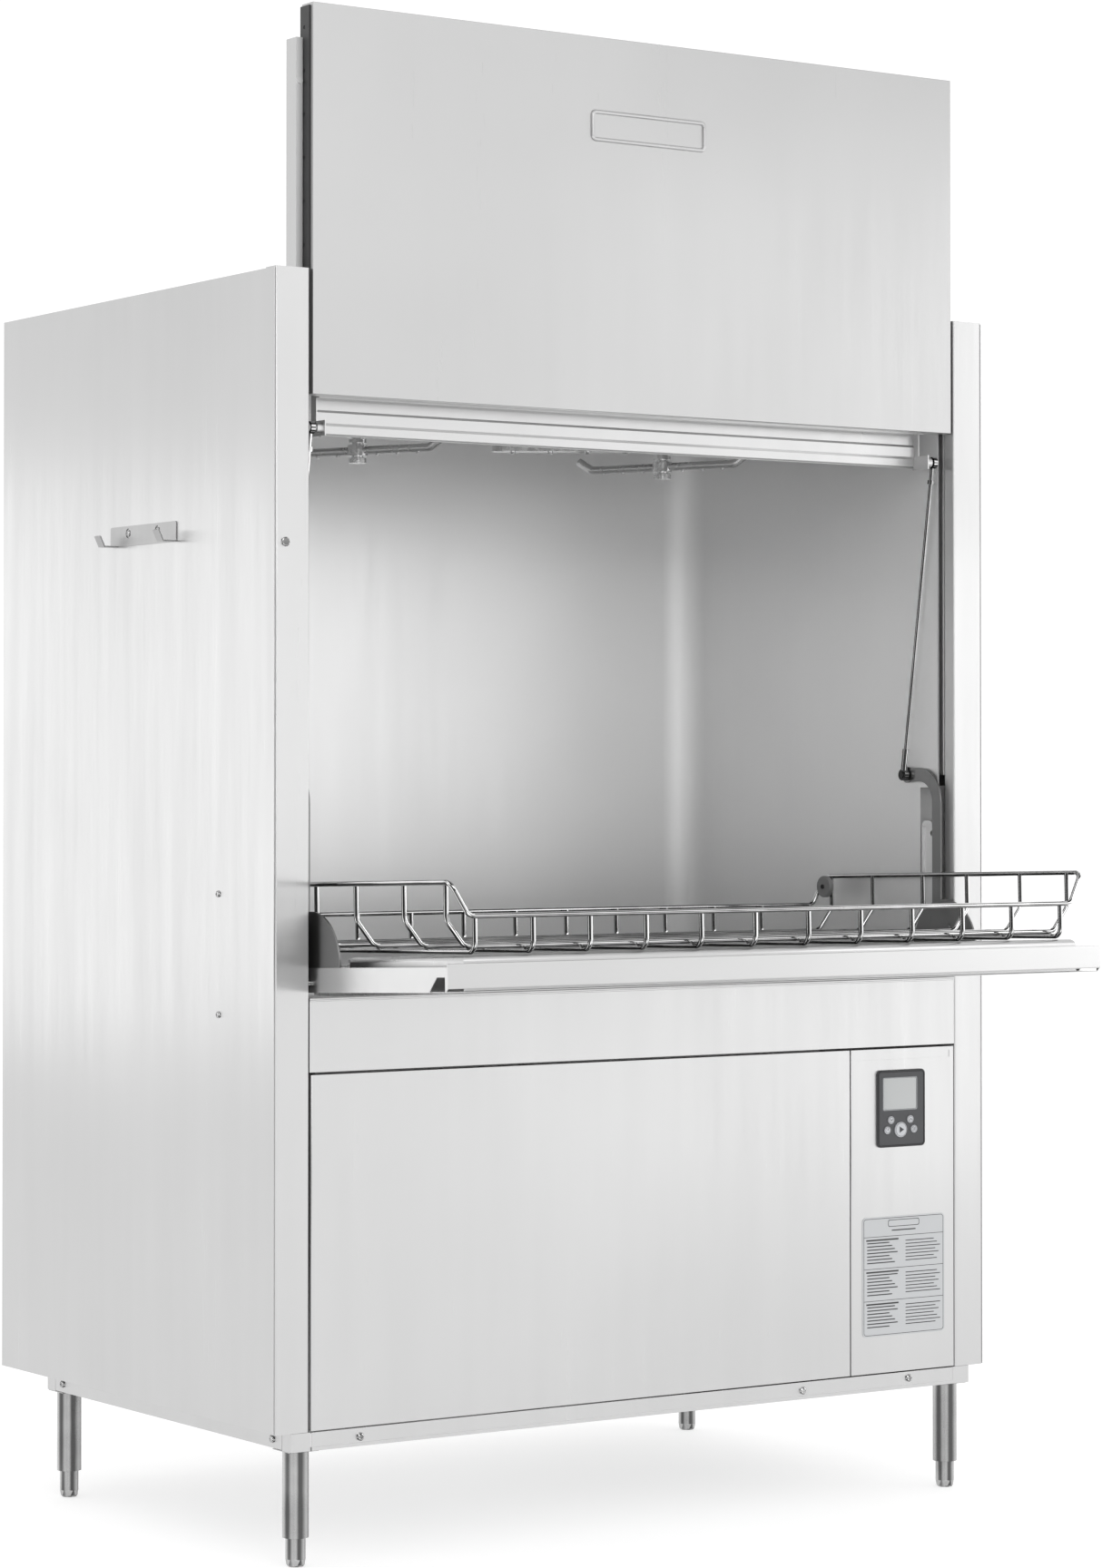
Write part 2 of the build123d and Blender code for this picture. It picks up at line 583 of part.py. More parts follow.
def rinse_arm(x, z, turn, spray, bent):
    """A round tube with its ends bent away from the ware by that height, and a hub."""
    lift, straight = -spray * bent, RINSE_REACH - 26
    points = [(-RINSE_REACH, 0, lift), (-straight, 0, 0), (straight, 0, 0), (RINSE_REACH, 0, lift)]
    arm = wire(points, 7, 16)
    for step in (1, 2, 3):
        for side in (-1, 1):
            arm += Pos(side * step * 40, 0, spray * 7.5) * Cylinder(3, 4)
    arm += Cylinder(17, 18)
    arm -= Cylinder(BORE_R, 60)
    return arm.moved(Location((x, STATION_Y, z), (0, 0, turn)))


def spray_system():
    for side, name in ((-1, "left"), (1, "right")):
        x = side * STATION_X
        save(f"{name}_upper_wash_arm", wash_arm(x, UPPER_WASH_Z, WASH_TURN, -1))
        save(f"{name}_upper_rinse_arm", rinse_arm(x, UPPER_RINSE_Z, RINSE_TURN, -1, 16))
        save(f"{name}_lower_wash_arm", wash_arm(x, LOWER_WASH_Z, WASH_TURN - 40, 1))
        save(f"{name}_lower_rinse_arm", rinse_arm(x, LOWER_RINSE_Z, RINSE_TURN + 30, 1, 7))


def wash_piping():
    """Pump discharge, riser behind the chamber, manifolds above and below, and the arms' spindles."""
    y_back, top_z, low_z = 840.0, 1906.0, 700.0
    pump_y, out_z = 295.0, PUMP_Z - 62
    riser = [(PUMP_X, pump_y, out_z), (0, pump_y, out_z), (0, y_back, out_z), (0, y_back, top_z)]
    main = wire(riser, 24, 45)
    main -= bar((PUMP_X, 250, PUMP_Z), (PUMP_X, 340, PUMP_Z), CASING_R)
    main += bar((-STATION_X - 30, y_back, top_z), (STATION_X + 30, y_back, top_z), 30)
    for x in (-STATION_X, STATION_X):
        drop = [(x, y_back, top_z), (x, STATION_Y, top_z), (x, STATION_Y, CHAMBER_TOP + SHEET)]
        main += wire(drop, 18, 30)
    main += bar((0, STATION_Y, low_z), (0, y_back, low_z), 20)
    main += bar((-STATION_X - 24, STATION_Y, low_z), (STATION_X + 24, STATION_Y, low_z), 26)
    for x in (-STATION_X, STATION_X):
        main += bar((x, STATION_Y, low_z), (x, STATION_Y, low_z + 30), 22)
    inlet = [(250, 200, 430), (250, 200, PUMP_Z), (PUMP_X, 200, PUMP_Z), (PUMP_X, 255, PUMP_Z)]
    suction = wire(inlet, 24, 34)
    spindles = []
    y = STATION_Y
    for x in (-STATION_X, STATION_X):
        upper = bar((x, y, 1758), (x, y, 1866), SPINDLE_R) + bar((x, y, 1752), (x, y, 1760), 15)
        upper += bar((x, y, 1828), (x, y, CHAMBER_TOP), 24)
        upper += bar((x, y, 1786), (x, y, 1792), 15)
        lower = bar((x, y, 800), (x, y, 916), SPINDLE_R) + bar((x, y, 914), (x, y, 920), 15)
        lower += bar((x, y, low_z + 30), (x, y, 848), 22) + bar((x, y, 882.5), (x, y, 892.5), 15)
        spindles += [upper, lower]
    save("wash_piping", main, suction, *spindles)


def pump():
    """Casing, impeller and finned motor on one level shaft along y."""
    x, z = PUMP_X, PUMP_Z
    casing = bar((x, 255, z), (x, 335, z), CASING_R) - bar((x, 262, z), (x, 328, z), CASING_R - 10)
    casing -= bar((x, 250, z), (x, 263, z), 22)
    casing -= bar((x, 320, z), (x, 340, z), 12)
    motor = bar((x, 352, z), (x, 560, z), 66) + bar((x, 336, z), (x, 353, z), 80)
    motor -= bar((x, 330, z), (x, 351, z), 14)
    for step in range(7):
        y = 372 + step * 24
        motor += bar((x, y, z), (x, y + 4, z), 74)
    motor += block(x - 30, x + 30, 400, 480, z + 60, z + 88)
    impeller = bar((x, 268, z), (x, 274, z), 66) + bar((x, 268, z), (x, 350, z), 11.9)
    for step in range(6):
        blade = block(12, 64, 273, 300, -2, 2)
        impeller += blade.rotate(Axis.Y, step * 60).moved(Location((x, 0, z)))
    save("pump_casing", casing)
    save("pump_motor", motor)
    save("pump_impeller", impeller)


def water_and_drain():
    heater = bar((-580, 650, 320), (-220, 650, 320), 85)
    heater += bar((-620, 650, 320), (-580, 650, 320), 40)
    save("booster_heater", heater)
    valve = block(395, 445, 830, 880, 275, 325) + bar((420, 855, 325), (420, 855, 370), 18)
    valve += tube((420, 880, 300), (420, 929, 300), 15, 10.5)
    save("fill_valve", valve)
    drain = tube((-100, 250, 300), (-100, 250, 430), 29, 20.5) + block(-132, -68, 220, 282, 268, 330)
    drain += tube((-100, 282, 300), (-100, 929, 300), 29, 24)
    save("drain_outlet", drain)
    plug = tube((-100, 250, 412), (-100, 250, 760), 19, 17)
    plug += tube((-100, 250, 432.3), (-100, 250, 438), 30, 17)
    plug += wire([(-100, 231.2, 750), (-100, 231.2, 790), (-100, 268.8, 790), (-100, 268.8, 750)], 3, 14)
    save("standpipe_plug", plug)
    z = 480.0
    outer = [(-560, 150, z), (-180, 150, z), (-180, 620, z)]
    inner = [(-500, 620, z), (-500, 190, z), (-240, 190, z)]
    save("heating_element", wire(outer + inner, 7, 25))


def electrical_box():
    box = tray(430, 640, 70, 230, 440, 740, SHEET, "-y")
    lid = block(430, 640, 68.4, 69.9, 440, 740)
    units = [block(450 + 62 * i, 500 + 62 * i, 170, 228.4, 560, 640) for i in range(3)]
    save("electrical_box", box, lid, *units)


base_frame()
legs()
feet()
front_columns()
side_and_roof_panels()
front_panels()
controls()
hook_bracket()
fasteners()
chamber()
side_pockets()
tank()
strainers()
rack_rails()
upper_door()
lower_door()
lever_plates()
hinge_pins()
link_rods()
guide_posts()
rack()
spray_system()
wash_piping()
pump()
water_and_drain()
electrical_box()
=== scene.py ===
import json
import math

import bmesh
import bpy
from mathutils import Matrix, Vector


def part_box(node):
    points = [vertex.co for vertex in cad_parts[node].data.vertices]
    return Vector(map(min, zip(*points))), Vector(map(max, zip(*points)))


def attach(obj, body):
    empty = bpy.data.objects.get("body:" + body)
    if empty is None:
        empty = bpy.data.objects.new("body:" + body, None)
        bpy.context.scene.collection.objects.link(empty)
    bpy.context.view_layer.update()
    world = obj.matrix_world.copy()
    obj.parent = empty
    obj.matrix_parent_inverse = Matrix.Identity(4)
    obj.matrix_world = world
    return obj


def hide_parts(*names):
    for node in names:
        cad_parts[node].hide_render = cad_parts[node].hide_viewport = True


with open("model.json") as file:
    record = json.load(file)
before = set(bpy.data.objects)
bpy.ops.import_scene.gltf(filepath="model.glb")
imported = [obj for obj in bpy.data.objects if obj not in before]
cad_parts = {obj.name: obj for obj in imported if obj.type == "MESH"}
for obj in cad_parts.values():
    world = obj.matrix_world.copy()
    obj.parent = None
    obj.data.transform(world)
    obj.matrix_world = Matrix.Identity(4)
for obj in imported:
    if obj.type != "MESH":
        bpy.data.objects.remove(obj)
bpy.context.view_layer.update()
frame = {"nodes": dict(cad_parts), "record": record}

MM = 0.001

# The cabinet's own millimetres: x from the middle, y from the column faces to the back, z from the floor.
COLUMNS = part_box("front_columns")
CENTRE_X = (COLUMNS[0].x + COLUMNS[1].x) / 2
FRONT_Y = COLUMNS[0].y
VIEW_TURN = math.radians(34)


def place(x, y, z):
    """A point given in the cabinet's own millimetres, in the frame's metres."""
    return Vector((CENTRE_X + x * MM, FRONT_Y + y * MM, z * MM))


# ---- materials ---------------------------------------------------------------------------------------
# Noise scales are in cells per metre, and lengths in metres.
EVEN = (1, 1, 1)
BUMP_DEPTH = 0.0002
GRAIN_SCALE, GRAIN_STRETCH = 900, 0.012
SMEAR_SCALE, SMEAR_STRETCH = 30, 0.05
CLOUD_SCALE = 2.2
HANDLING_MARKS = 60


def new_material(name, **constants):
    """A Principled material. Each keyword is a socket's name with _ for a space."""
    material = bpy.data.materials.new(name)
    material.use_nodes = True
    shader = material.node_tree.nodes["Principled BSDF"]
    for key, value in constants.items():
        shader.inputs[key.replace("_", " ")].default_value = value
    return material


def add_node(material, kind, inputs=(), **settings):
    """A node with its settings, and its inputs as (name, value or output socket) pairs."""
    tree = material.node_tree
    made = tree.nodes.new(kind)
    for key, value in settings.items():
        setattr(made, key, value)
    for key, value in inputs:
        if isinstance(value, bpy.types.NodeSocket):
            tree.links.new(value, made.inputs[key])
        else:
            made.inputs[key].default_value = value
    return made


def noise(material, scale, stretch=EVEN, detail=3.0, offset=0.0):
    """Noise over the object's own coordinates. A stretch below 1 draws it out along that axis."""
    where = add_node(material, "ShaderNodeTexCoord").outputs["Object"]
    mapped = add_node(material, "ShaderNodeMapping", [
        ("Vector", where), ("Scale", stretch), ("Location", (offset, offset, offset))])
    made = add_node(material, "ShaderNodeTexNoise", [
        ("Vector", mapped.outputs["Vector"]), ("Scale", scale), ("Detail", detail)])
    return made.outputs["Fac"]


def between(material, factor, low, high):
    """The factor's middle part, where noise mostly lies, spread from low to high."""
    made = add_node(material, "ShaderNodeMapRange", [
        ("Value", factor), ("From Min", 0.3), ("From Max", 0.7), ("To Min", low), ("To Max", high)])
    return made.outputs["Result"]


def link(material, output, socket):
    """An output joined to one of the shader's sockets."""
    shader = material.node_tree.nodes["Principled BSDF"]
    material.node_tree.links.new(output, shader.inputs[socket])


def tint(material, factor, low, high):
    """The base colour runs from one colour to another."""
    made = add_node(material, "ShaderNodeMix", [("Factor", factor)], data_type="RGBA")
    made.inputs["A"].default_value = (*low, 1)
    made.inputs["B"].default_value = (*high, 1)
    link(material, made.outputs["Result"], "Base Color")


def grey_between(material, factor, low, high):
    """The base colour runs from one grey to another."""
    tint(material, factor, (low, low, low), (high, high, high))


def combine(material, operation, first, second):
    """A Math node on two values."""
    return add_node(material, "ShaderNodeMath", [(0, first), (1, second)], operation=operation).outputs[0]


def bump(material, height, strength):
    """A fine relief, BUMP_DEPTH deep at full strength."""
    made = add_node(material, "ShaderNodeBump", [
        ("Height", height), ("Strength", strength), ("Distance", BUMP_DEPTH)])
    link(material, made.outputs["Normal"], "Normal")


def brushed(name, grey, rough, along, depth=0.05, anisotropic=0.6, metallic=1.0):
    """Brushed steel: fine grain along one axis, broad soft changes of tone and gloss."""
    material = new_material(name, Metallic=metallic, Anisotropic=anisotropic)
    stretch = [1.0, 1.0, 1.0]
    stretch["xyz".index(along)] = GRAIN_STRETCH
    grain = noise(material, GRAIN_SCALE, stretch, detail=4.0)
    stretch["xyz".index(along)] = SMEAR_STRETCH
    smear = noise(material, SMEAR_SCALE, stretch, offset=9.0)
    cloud = noise(material, CLOUD_SCALE, detail=2.0, offset=4.0)
    average = combine(material, "MULTIPLY", combine(material, "ADD", grain, smear), 0.5)
    link(material, between(material, average, *rough), "Roughness")
    grey_between(material, between(material, cloud, 0, 1), grey * 0.95, grey)
    bump(material, grain, depth)
    return material


def painted_reflection_metal(name, dark, light, rough, bands, spread, offset=0.0):
    """Polished round metal, with painted reflection: dark and light bands in the base colour, laid out by
    the way the surface faces.
    """
    material = new_material(name, Metallic=1.0)
    facing = add_node(material, "ShaderNodeTexCoord").outputs["Normal"]
    mapped = add_node(material, "ShaderNodeMapping", [
        ("Vector", facing), ("Scale", (bands, bands, bands)), ("Location", (offset, offset, offset))])
    reflection_bands = add_node(material, "ShaderNodeTexNoise", [
        ("Vector", mapped.outputs["Vector"]), ("Scale", 1.0), ("Detail", 1.0)]).outputs["Fac"]
    centred = combine(material, "ADD", noise(material, 14, detail=2.0, offset=6.0), -0.5)
    drift = combine(material, "MULTIPLY", centred, 0.12)
    reflection_mix = add_node(material, "ShaderNodeMapRange", [
        ("Value", combine(material, "ADD", reflection_bands, drift)), ("From Min", spread[0]), ("From Max", spread[1])])
    # Painted reflection: the bands set by facing run the base colour from dark to light.
    grey_between(material, reflection_mix.outputs["Result"], dark, light)
    link(material, between(material, noise(material, HANDLING_MARKS, detail=5.0), *rough), "Roughness")
    return material


def brass(name):
    """Dull cast brass, darker where it has tarnished."""
    material = new_material(name, Metallic=1.0)
    tarnish = between(material, noise(material, 45, detail=4.0), 0, 1)
    tint(material, tarnish, (0.36, 0.23, 0.09), (0.70, 0.48, 0.20))
    link(material, between(material, noise(material, 140), 0.25, 0.42), "Roughness")
    return material


def plain_steel(name, grey, rough):
    """Smooth steel with faint handling marks."""
    material = new_material(name, Metallic=1.0)
    link(material, between(material, noise(material, HANDLING_MARKS, detail=5.0), *rough), "Roughness")
    tone = noise(material, 9, detail=2.0, offset=3.0)
    grey_between(material, between(material, tone, 0, 1), grey * 0.93, grey)
    return material


def plastic(name, colour, rough, grain=700, depth=0.12, **constants):
    """Moulded plastic or paint with a fine texture."""
    material = new_material(name, Base_Color=(*colour, 1), **constants)
    broad = noise(material, 25, offset=5.0)
    link(material, between(material, broad, rough * 0.85, rough * 1.15), "Roughness")
    bump(material, noise(material, grain, detail=2.0), depth)
    return material


FINISHES = {
    "panel_steel": brushed("panel_steel", 0.62, (0.27, 0.36), "z", anisotropic=0.9),
    "chamber_steel": brushed("chamber_steel", 0.84, (0.38, 0.46), "z", anisotropic=0.8, metallic=0.92),
    # leg_steel and chrome_wire carry painted reflection bands in their base colour.
    "leg_steel": painted_reflection_metal("leg_steel", 0.10, 0.60, (0.20, 0.30), 1.3, (0.36, 0.62)),
    "chrome_wire": painted_reflection_metal("chrome_wire", 0.04, 0.95, (0.06, 0.14), 2.6, (0.43, 0.56), 3.0),
    "slide_plastic": plastic("slide_plastic", (0.025, 0.025, 0.026), 0.45),
    "bezel_plastic": plastic("bezel_plastic", (0.045, 0.046, 0.050), 0.32),
    "button_plastic": plastic("button_plastic", (0.52, 0.53, 0.55), 0.38),
    "display_glass": plastic("display_glass", (0.42, 0.43, 0.43), 0.12, depth=0.0, Coat_Weight=0.6),
    "label_film": plastic("label_film", (0.50, 0.51, 0.52), 0.35, depth=0.02),
    "spray_steel": plain_steel("spray_steel", 0.74, (0.18, 0.32)),
    "pump_iron": plastic("pump_iron", (0.16, 0.18, 0.20), 0.6, 160, 0.5),
    "motor_paint": plastic("motor_paint", (0.12, 0.13, 0.15), 0.42, 300, 0.2),
    "roller_plastic": plastic("roller_plastic", (0.20, 0.20, 0.20), 0.5),
    "brass_valve": brass("brass_valve"),
    "box_paint": plastic("box_paint", (0.72, 0.72, 0.70), 0.4, 260, 0.2),
}


INK = {
    # The bezel edge's near-black is painted shade along the bezel's chamfer.
    "edge": plastic("bezel_edge", (0.012, 0.012, 0.014), 0.3),
    "grey": plastic("display_edge", (0.30, 0.31, 0.32), 0.35),
    "dark": plastic("key_sign", (0.03, 0.03, 0.035), 0.45),
    "print": plastic("label_print", (0.03, 0.03, 0.03), 0.5),
}


SPECIAL = {
    # The screws carry painted reflection bands in their base colour.
    "panel_screws": painted_reflection_metal("screw_steel", 0.01, 0.85, (0.12, 0.2), 3.0, (0.46, 0.54), 1.0),
    # The bracket's darker grey is painted shade, for the shade on its underside.
    "hook_bracket": brushed("bracket_steel", 0.42, (0.30, 0.40), "z", anisotropic=0.7),
    # The lever plates' dark grey is painted shade, for the shade between column and door.
    "lever_plates": brushed("lever_steel", 0.26, (0.26, 0.34), "z", anisotropic=0.0),
    "lower_door_skin": brushed("lower_door_steel", 0.60, (0.28, 0.36), "x", anisotropic=0.0),
    "lower_door_pan": brushed("door_pan_steel", 0.60, (0.26, 0.34), "x", anisotropic=0.0),
    "roof_panel": brushed("roof_steel", 0.60, (0.32, 0.40), "x", anisotropic=0.0),
    "upper_door_skin": brushed("door_steel", 0.54, (0.27, 0.36), "z", anisotropic=0.9),
}


def paint_cad_nodes():
    """Each CAD node takes the finish of its slot in the record, or its own variant of it."""
    for part in frame["record"]["subparts"]:
        mesh = frame["nodes"][part["node"]].data
        mesh.materials.clear()
        mesh.materials.append(SPECIAL.get(part["node"], FINISHES[part["material_slot"]]))


# ---- mesh code shared by the detail pieces -------------------------------------------------------------
def add_piece(name, body, mesh, material):
    """A new piece that rides on a body and takes the finish it is given."""
    made = bpy.data.objects.new(name, mesh)
    bpy.context.scene.collection.objects.link(made)
    mesh.materials.append(material)
    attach(made, body)
    return made


def new_mesh(name, build, smooth=False):
    """A mesh that build(bm) fills."""
    bm = bmesh.new()
    build(bm)
    bmesh.ops.recalc_face_normals(bm, faces=bm.faces)
    mesh = bpy.data.meshes.new(name)
    bm.to_mesh(mesh)
    bm.free()
    for face in mesh.polygons:
        face.use_smooth = smooth
    return mesh


def rounded(x0, x1, z0, z1, radius, steps=6):
    """The (x, z) outline of a rounded rectangle."""
    corners = (
        (x1 - radius, z1 - radius, 0), (x0 + radius, z1 - radius, 90),
        (x0 + radius, z0 + radius, 180), (x1 - radius, z0 + radius, 270),
    )
    outline = []
    for x, z, start in corners:
        for step in range(steps + 1):
            turn = math.radians(start + 90 * step / steps)
            outline.append((x + radius * math.cos(turn), z + radius * math.sin(turn)))
    return outline


def circle(x, z, radius, steps=32):
    """The (x, z) outline of a circle."""
    turns = [2 * math.pi * step / steps for step in range(steps)]
    return [(x + radius * math.cos(turn), z + radius * math.sin(turn)) for turn in turns]


def add_loops(bm, loops, closed=True):
    """Quads between loops of points; a closed set also joins its last loop to its first."""
    rings = [[bm.verts.new(point) for point in loop] for loop in loops]
    pairs = list(zip(rings, rings[1:]))
    if closed:
        pairs.append((rings[-1], rings[0]))
    for one, other in pairs:
        for here in range(len(one)):
            after = (here + 1) % len(one)
            bm.faces.new((one[here], one[after], other[after], other[here]))
    return rings


def add_slab(bm, outline, y_face, y_back):
    """A closed slab with an (x, z) outline, its face towards the front."""
    loops = [[place(x, y, z) for x, z in outline] for y in (y_face, y_back)]
    rings = add_loops(bm, loops, closed=False)
    bm.faces.new(rings[0])
    bm.faces.new(rings[1][::-1])


def add_bar(bm, x0, x1, z0, z1, y_face, y_back):
    add_slab(bm, [(x0, z0), (x1, z0), (x1, z1), (x0, z1)], y_face, y_back)


def add_frame(bm, outlines, depths):
    """A closed moulding: nested outlines from outside to inside, each at its own depth y."""
    add_loops(bm, [[place(x, y, z) for x, z in outline] for outline, y in zip(outlines, depths)])


# ---- upper door --------------------------------------------------------------------------------------
BADGE = (-116.0, 116.0, 2260.0, 2312.0)


def door_plaque():
    """A blank plaque: a soft raised frame pressed out of the door's sheet."""
    x0, x1, z0, z1 = BADGE
    insets = (0.0, 0.8, 2.2, 3.8, 5.4, 6.4, 7.0)
    depths = (0.05, -2.0, -3.4, -3.6, -3.2, -1.8, 0.05)
    outlines = [rounded(x0 + i, x1 - i, z0 + i, z1 - i, 10 - i, 8) for i in insets]
    mesh = new_mesh("door_plaque", lambda bm: add_frame(bm, outlines, depths), smooth=True)
    made = add_piece("door_plaque", "upper_door", mesh, SPECIAL["upper_door_skin"])
    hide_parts("door_badge")


# ---- controls ----------------------------------------------------------------------------------------
BEZEL = (475.0, 578.5, 594.5, 726.0)
LENS = (487.5, 559.5, 658.5, 712.0)
BUTTONS = {
    "start_button": (524.0, 624.0, 13.0),
    "power_key": (495.0, 624.0, 6.5),
    "program_key": (553.0, 624.0, 6.5),
    "down_key": (503.0, 641.0, 6.5),
    "up_key": (545.0, 641.0, 6.5),
}
KEY_FACE = -6.5
PRINT_PROUD, PRINT_SUNK = 0.15, 0.05


def bezel_edges():
    """A soft black edge round the bezel, coloured darker than the bezel as painted shade along its chamfer,
    and a thin light one round the display.
    """
    x0, x1, z0, z1 = BEZEL
    insets = (0.3, 1.2, 3.2, 4.2)
    depths = (-3.6, -4.7, -4.7, -3.9)
    outlines = [rounded(x0 + i, x1 - i, z0 + i, z1 - i, 8 - i, 6) for i in insets]
    mesh = new_mesh("bezel_edge", lambda bm: add_frame(bm, outlines, depths), smooth=True)
    add_piece("bezel_edge", "cabinet", mesh, INK["edge"])
    x0, x1, z0, z1 = LENS
    insets = (-1.6, -1.2, -0.2, 0.2)
    depths = (-3.9, -4.3, -4.3, -3.4)
    outlines = [rounded(x0 + i, x1 - i, z0 + i, z1 - i, 3, 4) for i in insets]
    mesh = new_mesh("display_edge", lambda bm: add_frame(bm, outlines, depths), smooth=True)
    add_piece("display_edge", "cabinet", mesh, INK["grey"])


def sign_outlines(name, x, z):
    """The plain sign on each key, as slabs with (x, z) outlines."""
    if name == "start_button":
        return [[(x - 3.6, z - 5.4), (x + 6.0, z), (x - 3.6, z + 5.4)]]
    if name == "power_key":
        return [[(x - 0.5, z - 0.6), (x + 0.5, z - 0.6), (x + 0.5, z + 3.4), (x - 0.5, z + 3.4)]]
    if name == "program_key":
        rows = (z - 1.8, z, z + 1.8)
        return [[(x - 2.6, row - 0.4), (x + 2.6, row - 0.4), (x + 2.6, row + 0.4), (x - 2.6, row + 0.4)]
                for row in rows]
    lift = 1.0 if name == "up_key" else -1.0
    return [[(x - 3.0, z - 1.4 * lift), (x, z + 2.0 * lift), (x + 3.0, z - 1.4 * lift),
             (x + 2.3, z - 2.2 * lift), (x, z + 0.6 * lift), (x - 2.3, z - 2.2 * lift)]]


def key_signs():
    """A dark ring and a plain sign on the face of every key."""
    face, back = KEY_FACE - PRINT_PROUD, KEY_FACE + PRINT_SUNK
    for name, (x, z, radius) in BUTTONS.items():
        def build(bm):
            for outline in sign_outlines(name, x, z):
                add_slab(bm, outline, face, back)
            rings = [circle(x, z, radius - inset) for inset in (1.3, 1.4, 1.9, 2.0)]
            add_frame(bm, rings, (back, face, face, back))
        mesh = new_mesh(name + "_sign", build)
        add_piece(name + "_sign", name, mesh, INK["dark"])


LABEL = (444.0, 623.0, 274.0, 477.0)
LABEL_FACE = -0.8


def label_rules():
    """Plain rules and bars in a header and three sections of two columns. There is no lettering."""
    x0, x1, z0, z1 = LABEL
    face, back = LABEL_FACE - PRINT_PROUD, LABEL_FACE + PRINT_SUNK
    header, foot = 34.0, 6.0
    section = (z1 - z0 - header - foot) / 3
    middle = (x0 + x1) / 2
    row_pitch = 5.6

    def build(bm):
        outlines = [rounded(x0 + i, x1 - i, z0 + i, z1 - i, 8 - i, 5) for i in (2.4, 2.5, 3.2, 3.3)]
        add_frame(bm, outlines, (back, face, face, back))
        frame_box = [rounded(middle - 34 + i, middle + 34 - i, z1 - 18 + i, z1 - 6 - i, 3, 3)
                     for i in (0, 0.1, 1.0, 1.1)]
        add_frame(bm, frame_box, (back, face, face, back))
        add_bar(bm, middle - 26, middle + 26, z1 - 25, z1 - 23, face, back)
        for part in range(3):
            top = z1 - header - part * section
            add_bar(bm, x0 + 3, x1 - 3, top, top + 0.8, face, back)
            add_bar(bm, x0 + 8, x0 + 78, top - 6.4, top - 3.8, face, back)
            for row in range(7):
                z = top - 11 - row * row_pitch
                width = 48 + 18 * ((row * 5 + part * 3) % 4) / 3
                add_bar(bm, x0 + 10, x0 + 10 + width, z, z + 1.8, face, back)
                width = 62 + 14 * ((row * 7 + part * 2) % 5) / 4
                add_bar(bm, middle + 4, middle + 4 + width, z + 1.5, z + 2.9, face, back)
    mesh = new_mesh("label_rules", build)
    add_piece("label_rules", "cabinet", mesh, INK["print"])


# ---- trim ---------------------------------------------------------------------------------------------
def trim_hem():
    """The rolled double hem along the top of the trim panel."""
    half = 646
    profile = [
        (-0.2, 875.5), (-1.0, 876.3), (-1.0, 877.9), (-0.5, 878.3), (-1.0, 878.7), (-1.0, 880.3),
        (-0.2, 881.2), (0.3, 881.0), (0.3, 875.7),
    ]

    def build(bm):
        rings = add_loops(bm, [[place(x, y, z) for y, z in profile] for x in (-half, half)], closed=False)
        bm.faces.new(rings[0])
        bm.faces.new(rings[1][::-1])
    mesh = new_mesh("trim_hem", build)
    add_piece("trim_hem", "cabinet", mesh, FINISHES["panel_steel"])


# ---- screws in the back --------------------------------------------------------------------------------
SCREW_RADIUS, SCREW_PROUD = 5.0, 0.4


def countersunk(bm, at, out, sides=24):
    """A countersunk head, almost flush, with a soft rim and a driver recess."""
    across = out.orthogonal().normalized()
    other = out.cross(across)
    turns = [2 * math.pi * step / sides for step in range(sides)]
    rings = []
    for inset, rise in ((0.0, 0.0), (0.06, 0.6), (0.16, 1.0), (0.5, 1.0), (0.58, 0.1)):
        reach = SCREW_RADIUS * MM * (1 - inset)
        lift = out * (SCREW_PROUD * MM * rise)
        rings.append([at + lift + (across * math.cos(t) + other * math.sin(t)) * reach for t in turns])
    made = add_loops(bm, rings, closed=False)
    bm.faces.new(made[0])
    bm.faces.new(made[-1][::-1])


def back_screws():
    """Screws round the edge of the back panel."""
    lowest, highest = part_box("back_panel")
    edge = 0.014
    sunk = 0.0001
    gaps_up, gaps_across = 6, 5
    half = (highest.x - lowest.x) / 2
    low, high = lowest.z + edge, highest.z - edge
    spots = []
    for step in range(gaps_up + 1):
        z = low + (high - low) * step / gaps_up
        spots += [(side * (half - edge), z) for side in (-1, 1)]
    for step in range(1, gaps_across):
        x = -half + 2 * half * step / gaps_across
        spots += [(x, z) for z in (low, high)]

    def build(bm):
        for x, z in spots:
            countersunk(bm, Vector((CENTRE_X + x, highest.y - sunk, z)), Vector((0, 1, 0)))
    mesh = new_mesh("back_screws", build)
    add_piece("back_screws", "cabinet", mesh, SPECIAL["panel_screws"])


# ---- softened sheet edges ----------------------------------------------------------------------------
SOFT_EDGED = (
    "front_columns", "left_side_panel", "right_side_panel", "roof_panel", "trim_panel",
    "lower_front_panel", "control_panel", "base_frame", "upper_door_skin", "upper_door_liner",
    "lower_door_skin", "lower_door_pan", "lever_plates", "back_panel", "hook_bracket", "guide_posts",
)


def soften_edges():
    """A small rounding on folded sheet, so that its edges catch the light."""
    for name in SOFT_EDGED:
        node = frame["nodes"][name]
        weld = node.modifiers.new("weld", "WELD")
        weld.merge_threshold = 0.02 * MM
        edge = node.modifiers.new("soft_edge", "BEVEL")
        edge.width = 0.5 * MM
        edge.segments = 2
        edge.limit_method = "ANGLE"
        edge.angle_limit = math.radians(40)


# ---- floor, light and camera -------------------------------------------------------------------------
def floor():
    mesh = bpy.data.meshes.new("floor")
    half = 30.0
    corners = [(-half, -half, 0), (half, -half, 0), (half, half, 0), (-half, half, 0)]
    mesh.from_pydata(corners, [], [(0, 1, 2, 3)])
    made = bpy.data.objects.new("floor", mesh)
    bpy.context.scene.collection.objects.link(made)
    white = (1, 1, 1, 1)
    material = new_material("light_table", Roughness=0.9, Emission_Color=white, Emission_Strength=0.66)
    tone = noise(material, 1.5)
    grey_between(material, between(material, tone, 0, 1), 0.42, 0.44)
    mesh.materials.append(material)


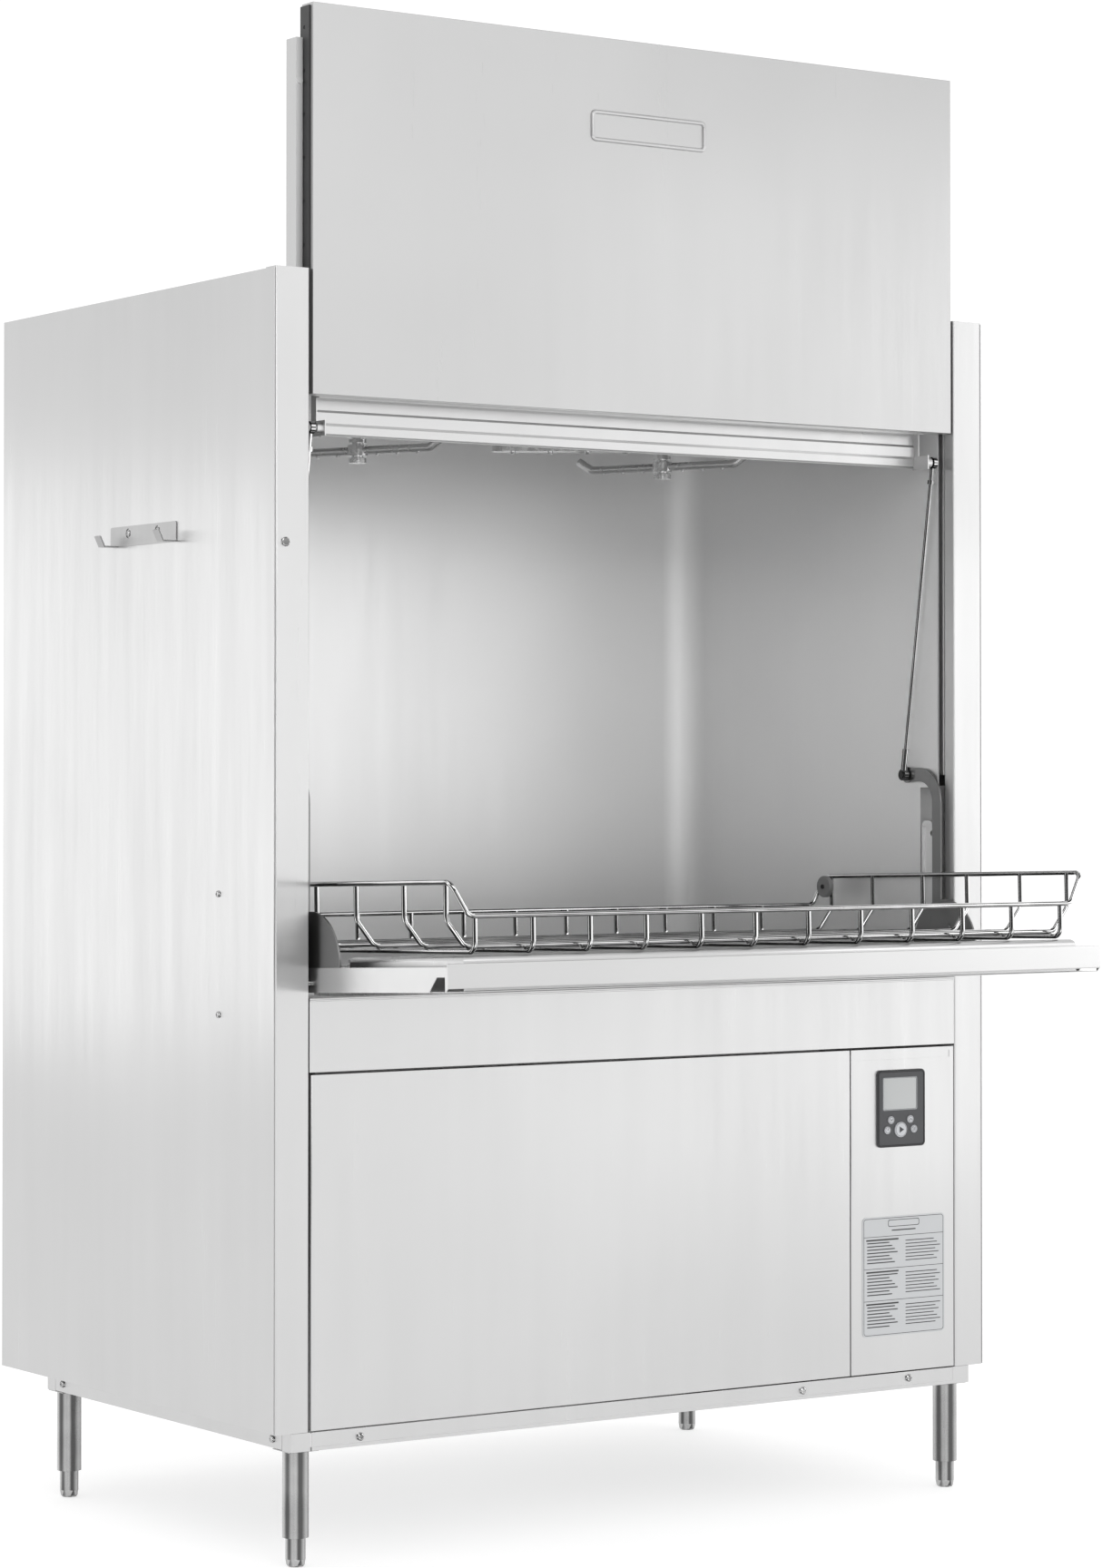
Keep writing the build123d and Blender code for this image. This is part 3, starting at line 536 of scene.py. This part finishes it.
def world_light():
    """A pale sky, brightest at the horizon, with a soft dark patch on the photographer's side."""
    world = bpy.data.worlds.new("studio")
    bpy.context.scene.world = world
    world.use_nodes = True
    tree = world.node_tree
    where = tree.nodes.new("ShaderNodeTexCoord")
    split = tree.nodes.new("ShaderNodeSeparateXYZ")
    tree.links.new(where.outputs["Generated"], split.inputs[0])
    sky = ((0.0, 0.9), (0.5, 1.12), (0.6, 1.08), (0.75, 1.0), (1.0, 0.92))
    height = world_ramp(tree, split.outputs["Z"], sky)
    towards = tree.nodes.new("ShaderNodeVectorMath")
    towards.operation = "DOT_PRODUCT"
    towards.inputs[1].default_value = (-math.sin(VIEW_TURN), -math.cos(VIEW_TURN), 0)
    tree.links.new(where.outputs["Generated"], towards.inputs[0])
    patch = world_ramp(tree, towards.outputs["Value"], ((0.0, 1.0), (0.93, 1.0), (0.975, 0.06), (1.0, 0.04)))
    both = tree.nodes.new("ShaderNodeMix")
    both.data_type = "RGBA"
    both.blend_type = "MULTIPLY"
    both.inputs["Factor"].default_value = 1.0
    tree.links.new(height, both.inputs["A"])
    tree.links.new(patch, both.inputs["B"])
    tree.links.new(both.outputs["Result"], tree.nodes["Background"].inputs["Color"])


def world_ramp(tree, value, stops):
    """Greys for a value from -1 to 1, at stops from 0 to 1."""
    spread = tree.nodes.new("ShaderNodeMapRange")
    spread.inputs["From Min"].default_value = -1.0
    tree.links.new(value, spread.inputs["Value"])
    ramp = tree.nodes.new("ShaderNodeValToRGB")
    tree.links.new(spread.outputs["Result"], ramp.inputs["Fac"])
    while len(ramp.color_ramp.elements) < len(stops):
        ramp.color_ramp.elements.new(0.5)
    for element, (at, grey) in zip(ramp.color_ramp.elements, stops):
        element.position = at
        element.color = (grey, grey, grey, 1)
    return ramp.outputs["Color"]


def softbox(name, at, size, radiance, aim=(0, 0, 1.2)):
    """A rectangle of light aimed at a point, by default the machine's middle, not seen by the camera."""
    light = bpy.data.lights.new(name, "AREA")
    light.shape = "RECTANGLE"
    light.size, light.size_y = size
    light.energy = radiance * math.pi * size[0] * size[1]
    made = bpy.data.objects.new(name, light)
    bpy.context.scene.collection.objects.link(made)
    made.location = at
    made.rotation_euler = (Vector(aim) - Vector(at)).to_track_quat("-Z", "Y").to_euler()
    made.visible_camera = False


def camera():
    """The long side of the picture takes the whole sensor."""
    data = bpy.data.cameras.new("camera")
    data.lens = 93.96
    data.sensor_width = 36
    data.shift_x = 0.0087
    data.shift_y = -0.0391
    data.clip_end = 100
    made = bpy.data.objects.new("camera", data)
    made.location = place(-3902.4, -5458.4, 1208.3)
    made.rotation_euler = (math.radians(90.903), 0, -VIEW_TURN)
    bpy.context.scene.collection.objects.link(made)
    bpy.context.scene.camera = made


# ---- the scene ---------------------------------------------------------------------------------------
paint_cad_nodes()
soften_edges()
door_plaque()
bezel_edges()
key_signs()
label_rules()
trim_hem()
back_screws()
floor()
world_light()
softbox("front_softbox", (-1.6, -6.5, 4.2), (5, 3), 1.6)
softbox("right_softbox", (4.8, -3.6, 1.4), (2.6, 3.4), 1.02)
softbox("rear_left_softbox", (-3.4, 5.0, 1.3), (4.0, 1.7), 0.6)
chamber_light = place(1270, -1450, 1420)
mirrored_view = Vector((-math.sin(VIEW_TURN), math.cos(VIEW_TURN), 0))
softbox("chamber_softbox", chamber_light, (0.4, 0.56), 1.1, chamber_light + mirrored_view)
corner_light = place(-1330, -2500, 1440)
view = Vector((math.sin(VIEW_TURN), math.cos(VIEW_TURN), 0))
softbox("corner_softbox", corner_light, (0.44, 0.8), 4.4, corner_light + view)
camera()
bpy.context.scene.view_settings.view_transform = "Standard"
